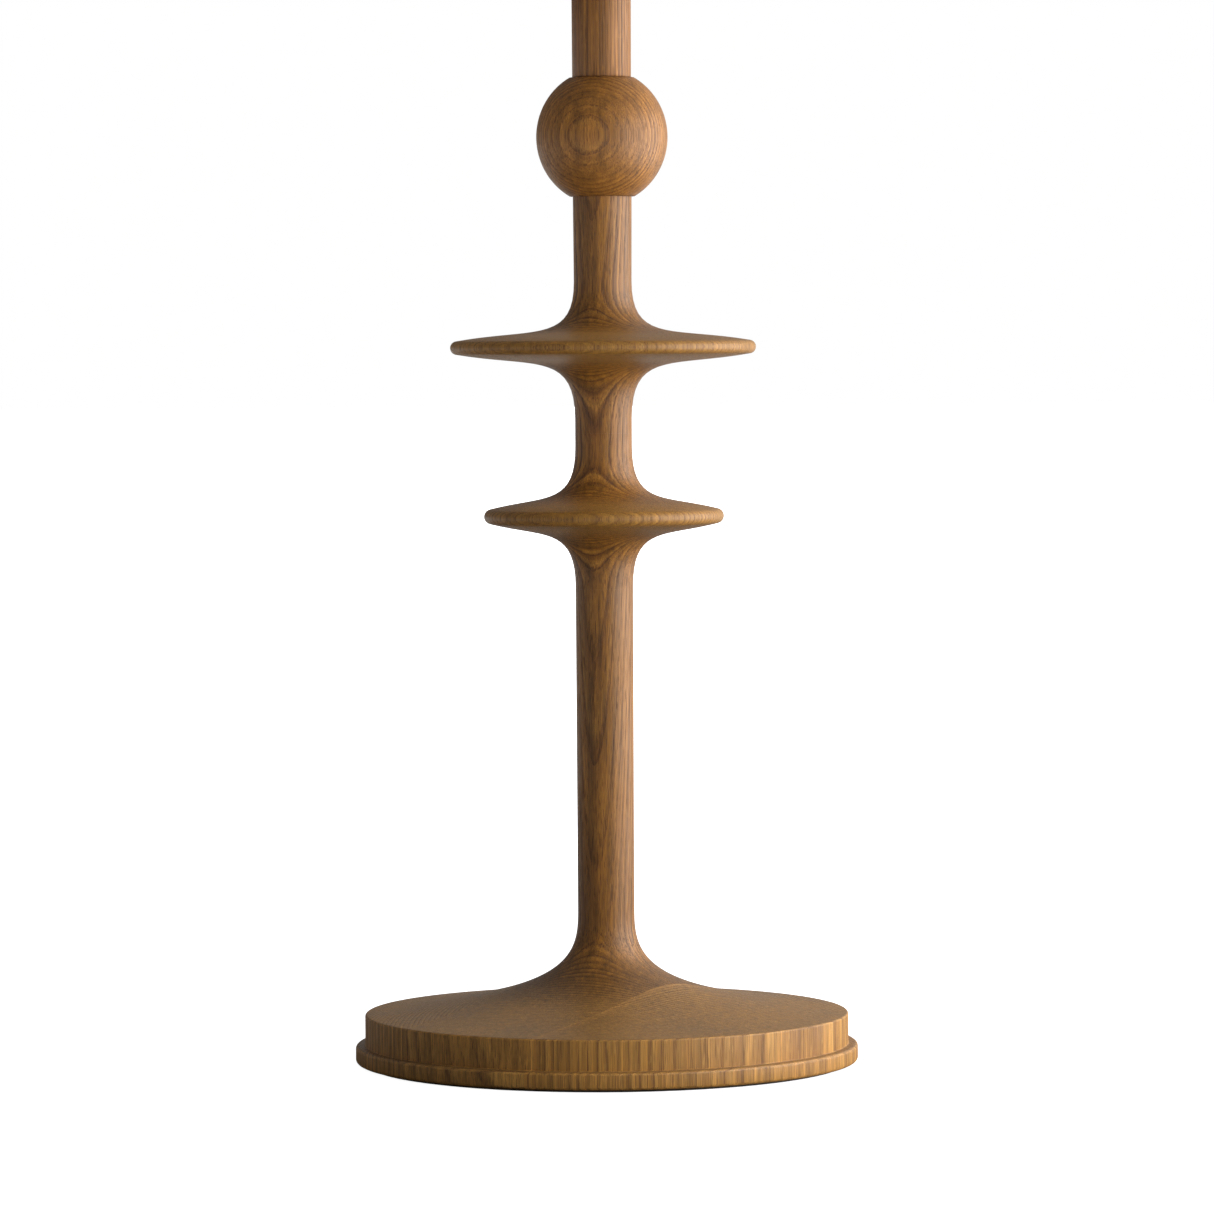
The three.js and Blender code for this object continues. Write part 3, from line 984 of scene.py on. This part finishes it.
class CANDLESTICK_OT_stem(bpy.types.Operator):
    """Turn the plain stem sections, the lower one on its tenon"""

    bl_idname = "candlestick.stem"
    bl_label = "Plain Stems"

    def execute(self, context):
        stem = settings().stem
        low, high, _ = span("lower_stem")
        foot = low + stem.tenon_length - stem.closing
        high += stem.closing
        pilot = span("base_screw")[1] + MM
        hole = settings().base.screw_hole
        outline = [
            at(0, pilot),
            at(hole, pilot),
            at(hole, low),
            at(stem.tenon, low),
            at(stem.tenon, foot),
            at(stem.base_neck, foot),
            at(stem.shaft, high),
            *reversed(dowel_hole(high, -1)),
        ]
        piece = turn("lower_stem", outline, stem.turning_steps)
        finish_piece(piece, spindle_oak(), "lower_stem")

        low, high, _ = span("upper_stem")
        outline = [
            *dowel_hole(low, 1),
            at(stem.neck, low),
            at(stem.upper, high),
            *reversed(dowel_hole(high, -1)),
        ]
        piece = turn("upper_stem", outline, stem.turning_steps)
        break_edges(piece, stem.edge_break)
        upper = oak_material(
            "Oak, upper stem", math.radians(60), 90 * MM, 0.1, width=1.7 * MM,
            tint=(0.84, 0.75, 0.52),
        )
        finish_piece(piece, upper, "upper_stem")
        return {"FINISHED"}


def spindle_oak():
    """The one board that the lower stem and both disc sections are cut from."""
    name = "Oak, spindle board"
    if name in bpy.data.materials:
        return bpy.data.materials[name]
    return oak_material(name, **SPINDLE_BOARD, figure=1.2, rim_tint=RIM_TINT)


class CANDLESTICK_OT_discs(bpy.types.Operator):
    """Turn the two disc sections with their rounded rims"""

    bl_idname = "candlestick.discs"
    bl_label = "Disc Sections"

    def section(self, node, form, lower, upper, top):
        stem = settings().stem
        low, high, rim = span(node)
        middle = low + form.collar + form.sweep_below
        low -= stem.closing
        high += stem.closing
        sweep_top = middle + form.sweep_above
        foot = middle - form.sweep_below
        below = sweep(nose_end(rim, middle, form, -1), at(lower, foot), form, -1)
        above = sweep(nose_end(rim, middle, form, 1), at(upper, sweep_top), form, 1)
        leaning = QUARTER_TURN - form.face_angle
        nose = arc(at(rim - form.nose, middle), form.nose, form.nose, -leaning, leaning, 12)
        outline = [
            *dowel_hole(low, 1),
            at(lower, low),
            *reversed(below),
            *nose[1:-1],
            *above,
            at(top, high),
            *reversed(dowel_hole(high, -1)),
        ]
        piece = turn(node, outline, stem.turning_steps)
        finish_piece(piece, spindle_oak(), node)

    def execute(self, context):
        stem = settings().stem
        self.section("lower_disc", settings().lower_disc, stem.shaft, stem.waist, stem.waist)
        self.section("upper_disc", settings().upper_disc, stem.waist, stem.shaft, stem.neck)
        return {"FINISHED"}


class CANDLESTICK_OT_ball(bpy.types.Operator):
    """Turn the ball with its two flats"""

    bl_idname = "candlestick.ball"
    bl_label = "Ball"

    def execute(self, context):
        stem = settings().stem
        low, high, radius = span("ball")
        flat = stem.ball_flat
        middle = (low + high) / 2
        tilt = math.acos(flat / radius)
        tall = (high - low) / 2 / math.sin(tilt)
        outline = [
            *dowel_hole(low, 1),
            *arc(at(0, middle), radius, tall, -tilt, tilt, 48),
            *reversed(dowel_hole(high, -1)),
        ]
        piece = turn("ball", outline, stem.turning_steps)
        break_edges(piece, 2 * stem.edge_break)
        wood = oak_material(
            "Oak, ball", math.radians(11), 110 * MM, 0.13493, width=1.66 * MM, wander=0.7 * MM,
            figure=0.95, tint=(0.93, 0.88, 0.82),
        )
        finish_piece(piece, wood, "ball")
        return {"FINISHED"}


class CANDLESTICK_OT_top(bpy.types.Operator):
    """Turn the drip pan and the candle socket"""

    bl_idname = "candlestick.top"
    bl_label = "Drip Pan and Socket"

    socket_tenon: length("Socket Tenon", "Radius of the tenon under the socket", 7.5 * MM)
    socket_tenon_length: length("Tenon Length", "Length of that tenon", 7 * MM)
    dish_inset: length("Dish Inset", "From the rim to the dish's flat floor", 14 * MM)
    foot_radius: length("Foot Radius", "Radius of the socket's foot", 14.6 * MM)
    foot_height: length("Foot Height", "Height of the socket's foot", 2.6 * MM)
    stalk_radius: length("Stalk Radius", "Radius of the socket's stalk", 11.6 * MM)
    stalk_height: length("Stalk Height", "Height of the socket's stalk", 7 * MM)
    bore: length("Bore", "Radius of the hole for the cup", 12.15 * MM)
    wall: length("Wall", "Wood around the cup", 4.6 * MM)
    flare: length("Flare", "How far the bowl widens upwards", 1.8 * MM)

    def drip_pan(self):
        stem = settings().stem
        form = settings().pan
        low, high, _ = span("drip_pan")
        rim = PAN_RIM
        middle = high - form.nose
        floor = span("candle_socket")[0] + self.socket_tenon_length - 0.1 * MM
        below = sweep(nose_end(rim, middle, form, -1), at(stem.upper, low + form.collar), form, -1)
        nose = arc(
            at(rim - form.nose, middle), form.nose, form.nose,
            form.face_angle - QUARTER_TURN, QUARTER_TURN, 12,
        )
        dish_start = at(rim - form.nose, high)
        dish_end = at(rim - self.dish_inset, floor)
        slope = at((dish_start.x - dish_end.x) / 2, 0)
        dish = interpolate_bezier(dish_start, dish_start - slope, dish_end + slope, dish_end, 14)
        hole = self.socket_tenon + CLEARANCE
        bottom = floor - self.socket_tenon_length - 0.5 * MM
        outline = [
            *dowel_hole(low, 1),
            at(stem.upper, low),
            *reversed(below),
            *nose[1:-1],
            *dish,
            at(hole, floor),
            at(hole, bottom),
            at(0, bottom),
        ]
        piece = turn("drip_pan", outline, stem.turning_steps)
        break_edges(piece, stem.edge_break)
        wood = oak_material(
            "Oak, drip pan", math.radians(35), 100 * MM, 0.1116, width=1.9 * MM,
            tint=SPINDLE_TINT, rim_tint=RIM_TINT,
        )
        finish_piece(piece, wood, "drip_pan")

    def socket(self):
        low, high, rim = span("candle_socket")
        foot = low + self.socket_tenon_length
        foot_top = foot + self.foot_height
        bowl_floor = foot_top + self.stalk_height
        bowl = self.bore + self.wall
        bead = self.foot_height / 2
        stalk = at(self.stalk_radius, foot_top + self.stalk_height / 3)
        swell = interpolate_bezier(
            stalk, at(self.stalk_radius, bowl_floor + MM), at(bowl - self.flare, bowl_floor + MM),
            at(bowl, bowl_floor + MM + self.wall), 16,
        )
        cove = interpolate_bezier(
            at(self.foot_radius - bead, foot_top), at(self.stalk_radius + 0.6 * MM, foot_top),
            at(self.stalk_radius, foot_top + 0.4 * MM), stalk, 8,
        )
        outline = [
            at(0, low),
            at(self.socket_tenon, low),
            at(self.socket_tenon, foot),
            at(self.foot_radius - bead, foot),
            *arc(at(self.foot_radius - bead, foot + bead), bead, bead,
                 -QUARTER_TURN, QUARTER_TURN, 10)[1:-1],
            *cove,
            *swell[1:],
            *rounded(at(rim, high), 1.4 * MM, 0, QUARTER_TURN, 6),
            at(self.bore, high),
            at(self.bore, bowl_floor + MM),
            at(0, bowl_floor + MM),
        ]
        stem = settings().stem
        piece = turn("candle_socket", outline, stem.turning_steps)
        break_edges(piece, 2 * stem.edge_break)
        wood = oak_material(
            "Oak, candle socket", math.radians(-30), 90 * MM, 0.1085, width=1.8 * MM,
            tint=SPINDLE_TINT,
        )
        finish_piece(piece, wood, "candle_socket")

    def execute(self, context):
        self.drip_pan()
        self.socket()
        return {"FINISHED"}


class CANDLESTICK_OT_cup(bpy.types.Operator):
    """Spin the thin brass cup with its rolled flange"""

    bl_idname = "candlestick.cup"
    bl_label = "Brass Cup"

    wall: length("Wall", "Thickness of the cup", 0.7 * MM)
    bore: length("Bore", "Radius of the candle bore", 11.2 * MM)
    flange: length("Flange", "Thickness of the flange", 1.2 * MM)

    def execute(self, context):
        low, high, rim = span("candle_cup")
        seat = high - self.flange
        outside = self.bore + self.wall
        roll = self.flange / 2
        throat = 0.8 * MM
        corner = 1.6 * MM
        outline = [
            at(0, low),
            *rounded(at(outside, low), corner, -QUARTER_TURN, 0, 6),
            at(outside, seat),
            *arc(at(rim - roll, seat + roll), roll, roll, -QUARTER_TURN, QUARTER_TURN, 10),
            at(self.bore + 2 * throat, high),
            *arc(at(self.bore + throat, high - throat), throat, throat,
                 QUARTER_TURN, 2 * QUARTER_TURN, 6),
            at(self.bore, low + corner),
            *arc(at(self.bore - corner + self.wall, low + corner), corner - self.wall,
                 corner - self.wall, 0, -QUARTER_TURN, 6),
            at(0, low + self.wall),
        ]
        piece = turn("candle_cup", outline, settings().stem.turning_steps)
        finish_piece(piece, brass_material(), "candle_cup", CUP)
        return {"FINISHED"}


class CANDLESTICK_OT_felt(bpy.types.Operator):
    """Cut the felt pad, with a slightly ragged edge"""

    bl_idname = "candlestick.felt"
    bl_label = "Felt Pad"

    fuzz: length("Fuzz", "How far the cut edge strays", 0.12 * MM)

    def execute(self, context):
        low, high, radius = span("felt_pad")
        soft = 0.25 * (high - low)
        inner = radius - self.fuzz
        outline = [
            at(0, low),
            *[at(inner * i / 12, low) for i in range(1, 12)],
            *rounded(at(inner, low), soft, -QUARTER_TURN, 0, 3),
            *rounded(at(inner, high), soft, 0, QUARTER_TURN, 3),
            at(0, high),
        ]
        piece = turn("felt_pad", outline, WIDE_STEPS)
        ragged = random.Random(7)
        for vertex in piece.data.vertices:
            flat = Vector((vertex.co.x, vertex.co.y, 0))
            if flat.length > inner - 2 * soft:
                vertex.co += flat.normalized() * ragged.uniform(-self.fuzz, self.fuzz)
        finish_piece(piece, felt_material(), "felt_pad")
        return {"FINISHED"}


class CANDLESTICK_OT_dowels(bpy.types.Operator):
    """Flute one beech dowel and set a copy across each joint"""

    bl_idname = "candlestick.dowels"
    bl_label = "Dowels"

    flutes: IntProperty(name="Flutes", description="Grooves around a dowel", default=16, min=4)
    chamfer: length("Chamfer", "Chamfer at each end", 0.8 * MM)
    flute_depth: length("Flute Depth", "Depth of each groove", 0.35 * MM)

    def execute(self, context):
        joints = [node for node in sorted(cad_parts) if node.endswith("_dowel")]
        low, high, radius = span(joints[0])
        model = self.fluted(radius, high - low)
        material = beech_material()
        for node in joints:
            low, high, _ = span(node)
            activate(model)
            bpy.ops.object.duplicate()
            piece = bpy.context.object
            piece.name = node
            piece.location.z = (low + high) / 2
            bpy.ops.object.transform_apply(location=True, rotation=False, scale=False)
            finish_piece(piece, material, node)
        bpy.data.objects.remove(model)
        return {"FINISHED"}

    def fluted(self, radius, tall):
        """A dowel about the origin with chamfered ends and a groove at every fourth edge."""
        deselect_all()
        bpy.ops.mesh.primitive_cylinder_add(
            vertices=4 * self.flutes, radius=radius, depth=tall - 2 * self.chamfer
        )
        model = bpy.context.object
        for side in (1, -1):
            taper_end(model, side, self.chamfer, 1 - self.chamfer / radius)
        step = FULL_TURN / self.flutes
        select_vertices(model, lambda co: abs(math.remainder(math.atan2(co.x, co.y), step)) < 0.01)
        shrink = 1 - self.flute_depth / radius
        bpy.ops.transform.resize(value=(shrink, shrink, 1), center_override=(0, 0, 0))
        bpy.ops.object.mode_set(mode="OBJECT")
        return model


class CANDLESTICK_OT_fixings(bpy.types.Operator):
    """Make the lag screw with its thread, and the washer"""

    bl_idname = "candlestick.fixings"
    bl_label = "Screw and Washer"

    washer_bore: length("Washer Bore", "Radius of the washer's hole", 3.2 * MM)
    washer_edge: length("Washer Edge", "Rounding of the washer's edges", 0.3 * MM)
    screw_radius: length("Screw Radius", "Radius of the shank and of the thread", 3 * MM)
    across_flats: length("Across Flats", "Width of the hexagonal head", 10 * MM)
    head_height: length("Head Height", "Height of the hexagonal head", 4 * MM)
    head_chamfer: length("Head Chamfer", "Chamfer around the head's face", 0.5 * MM)
    plain: length("Plain Shank", "Length of shank without a thread", 18 * MM)
    point: length("Point", "Length of the tapered point", 5 * MM)
    thread_pitch: length("Thread Pitch", "Rise of the thread in one turn", 2.4 * MM)
    thread_depth: length("Thread Depth", "Depth of the thread", 0.7 * MM)

    def execute(self, context):
        material = steel_material()
        self.washer(material)
        self.screw(material)
        return {"FINISHED"}

    def washer(self, material):
        low, high, radius = span("base_washer")
        bore = self.washer_bore
        soft = self.washer_edge
        outline = [
            *rounded(at(bore, low), soft, math.pi, math.pi + QUARTER_TURN, 3),
            *rounded(at(radius, low), soft, -QUARTER_TURN, 0, 3),
            *rounded(at(radius, high), soft, 0, QUARTER_TURN, 3),
            *rounded(at(bore, high), soft, QUARTER_TURN, math.pi, 3),
        ]
        piece = turn("base_washer", outline, 64, closed=True)
        finish_piece(piece, material, "base_washer")

    def screw(self, material):
        low, high, _ = span("base_screw")
        seat = low + self.head_height
        core = self.screw_radius - self.thread_depth
        shoulder = seat + self.plain
        tip = high - self.point
        shank = turn(
            "shank",
            [
                at(0, seat - self.head_chamfer),
                at(self.screw_radius, seat - self.head_chamfer),
                at(self.screw_radius, shoulder),
                at(core, shoulder + self.thread_depth),
                at(core, tip),
                at(0, high),
            ],
            48,
        )
        thread = self.thread(core - self.thread_depth / 2, shoulder, tip)
        piece = self.head(low, seat)
        for part in (shank, thread):
            apply_modifier(
                piece, "Union", "BOOLEAN", operation="UNION", solver="EXACT", object=part
            )
            bpy.data.objects.remove(part)
        edit_all()
        weld(SLIVER)
        bpy.ops.object.mode_set(mode="OBJECT")
        finish_piece(piece, material, "base_screw")

    def head(self, low, seat):
        """The hexagonal head, chamfered around the face that a spanner comes to."""
        deselect_all()
        corner = self.across_flats / math.sqrt(3)
        bpy.ops.mesh.primitive_cylinder_add(
            vertices=6, radius=corner, depth=self.head_height - self.head_chamfer,
            location=(0, 0, (low + self.head_chamfer + seat) / 2),
        )
        piece = bpy.context.object
        piece.name = "base_screw"
        bpy.ops.object.transform_apply(location=True, rotation=False, scale=False)
        taper_end(piece, -1, self.head_chamfer, 1 - self.head_chamfer / corner)
        return piece

    def thread(self, root, bottom, top):
        """A three-sided ridge that climbs around the core from bottom to top."""
        turns = int((top - bottom) / self.thread_pitch)
        ridge = begin("thread")
        half = self.thread_pitch / 4
        corners = [
            at(root, bottom), at(self.screw_radius, bottom + half), at(root, bottom + 2 * half)
        ]
        draw(corners, closed=True)
        apply_modifier(
            ridge, "Winding", "SCREW", axis="Z", screw_offset=self.thread_pitch,
            iterations=turns, steps=20, render_steps=20,
        )
        edit_all()
        bpy.ops.mesh.fill_holes(sides=0)
        close_up()
        return ridge


class CANDLESTICK_OT_stage(bpy.types.Operator):
    """Lay the pale floor and set the soft light and the camera"""

    bl_idname = "candlestick.stage"
    bl_label = "Stage"

    def execute(self, context):
        self.floor()
        self.key_light(context)
        self.world(context)
        self.camera(context)
        context.scene.view_settings.view_transform = "Standard"
        return {"FINISHED"}

    def floor(self):
        deselect_all()
        bpy.ops.mesh.primitive_circle_add(vertices=96, radius=25, fill_type="NGON")
        floor = bpy.context.object
        floor.name = "floor"
        floor.data.materials.append(floor_material())

    def key_light(self, context):
        """A large soft light at a bearing clockwise from the camera's side."""
        look = settings().stage
        reach = look.key_distance
        place = Vector((
            reach * math.sin(look.key_bearing), -reach * math.cos(look.key_bearing),
            look.key_height,
        ))
        aim = Vector((0, 0, 0.24))
        data = bpy.data.lights.new("Key", "AREA")
        data.shape = "RECTANGLE"
        data.size = 1.0
        data.size_y = 0.64
        data.energy = look.key_power
        lamp = bpy.data.objects.new("Key", data)
        lamp.location = place
        lamp.rotation_euler = (aim - place).to_track_quat("-Z", "Y").to_euler()
        context.collection.objects.link(lamp)

    def world(self, context):
        """White behind the candlestick, dimmer light from the viewer's side."""
        world = bpy.data.worlds.new("Studio")
        context.scene.world = world
        world.use_nodes = True
        tree = world.node_tree
        tree.nodes.clear()
        place = tree.nodes.new("ShaderNodeTexCoord").outputs["Generated"]
        ways = separate(tree, place)
        back = maths(tree, "MULTIPLY_ADD", ways["Y"], 0.4, ways["X"])
        look = settings().stage
        level = fade(tree, back, 0.1, 0.8, look.front_light, look.back_light)
        dim = add_node(tree, "Background", {"Color": grey(1.0), "Strength": level})
        white = add_node(tree, "Background", {"Color": grey(1.0), "Strength": 1.0})
        seen = tree.nodes.new("ShaderNodeLightPath").outputs["Is Camera Ray"]
        mix = add_node(
            tree, "MixShader", {0: seen, 1: dim.outputs[0], 2: white.outputs[0]}
        )
        out = tree.nodes.new("ShaderNodeOutputWorld")
        tree.links.new(mix.outputs[0], out.inputs["Surface"])

    def camera(self, context):
        look = settings().stage
        data = bpy.data.cameras.new("Camera")
        data.lens = look.lens
        data.sensor_width = 36.0
        data.clip_end = 100
        camera = bpy.data.objects.new("Camera", data)
        camera.location = (look.aim_side, -look.camera_distance, look.eye_height)
        aim = Vector((look.aim_side, 0, look.aim_height))
        view = (aim - camera.location).to_track_quat("-Z", "Y")
        camera.rotation_euler = (view.to_matrix() @ Euler((0, 0, -look.roll)).to_matrix()).to_euler()
        context.collection.objects.link(camera)
        context.scene.camera = camera


class CANDLESTICK_PT_panel(bpy.types.Panel):
    """Lists the steps that make the candlestick"""

    bl_label = "Candlestick"
    bl_idname = "CANDLESTICK_PT_panel"
    bl_space_type = "VIEW_3D"
    bl_region_type = "UI"
    bl_category = "Candlestick"

    def draw(self, context):
        for operator in OPERATORS:
            self.layout.operator(operator.bl_idname)
        stem = context.scene.candlestick.stem
        for name in stem.bl_rna.properties.keys():
            if name not in ("rna_type", "name"):
                self.layout.prop(stem, name)


OPERATORS = [
    CANDLESTICK_OT_effects,
    CANDLESTICK_OT_base,
    CANDLESTICK_OT_stem,
    CANDLESTICK_OT_discs,
    CANDLESTICK_OT_ball,
    CANDLESTICK_OT_top,
    CANDLESTICK_OT_cup,
    CANDLESTICK_OT_felt,
    CANDLESTICK_OT_dowels,
    CANDLESTICK_OT_fixings,
    CANDLESTICK_OT_stage,
]
GROUPS = [
    StemSizes,
    BaseSizes,
    DiscSizes,
    OakFinish,
    MetalFinish,
    StageLook,
    CandlestickSettings,
]


def register():
    for cls in (*GROUPS, *OPERATORS, CANDLESTICK_PT_panel):
        bpy.utils.register_class(cls)
    bpy.types.Scene.candlestick = PointerProperty(type=CandlestickSettings)


def unregister():
    del bpy.types.Scene.candlestick
    for cls in reversed((*GROUPS, *OPERATORS, CANDLESTICK_PT_panel)):
        bpy.utils.unregister_class(cls)


def main():
    register()
    for disc, sizes in DISC_FORMS.items():
        form = getattr(settings(), disc)
        for name, value in sizes.items():
            setattr(form, name, value)
    bpy.ops.candlestick.effects()
    bpy.ops.candlestick.base()
    bpy.ops.candlestick.stem()
    bpy.ops.candlestick.discs()
    bpy.ops.candlestick.ball()
    bpy.ops.candlestick.top()
    bpy.ops.candlestick.cup()
    bpy.ops.candlestick.felt()
    bpy.ops.candlestick.dowels()
    bpy.ops.candlestick.fixings()
    bpy.ops.candlestick.stage()
    bpy.context.view_layer.update()


if __name__ == "__main__":
    main()
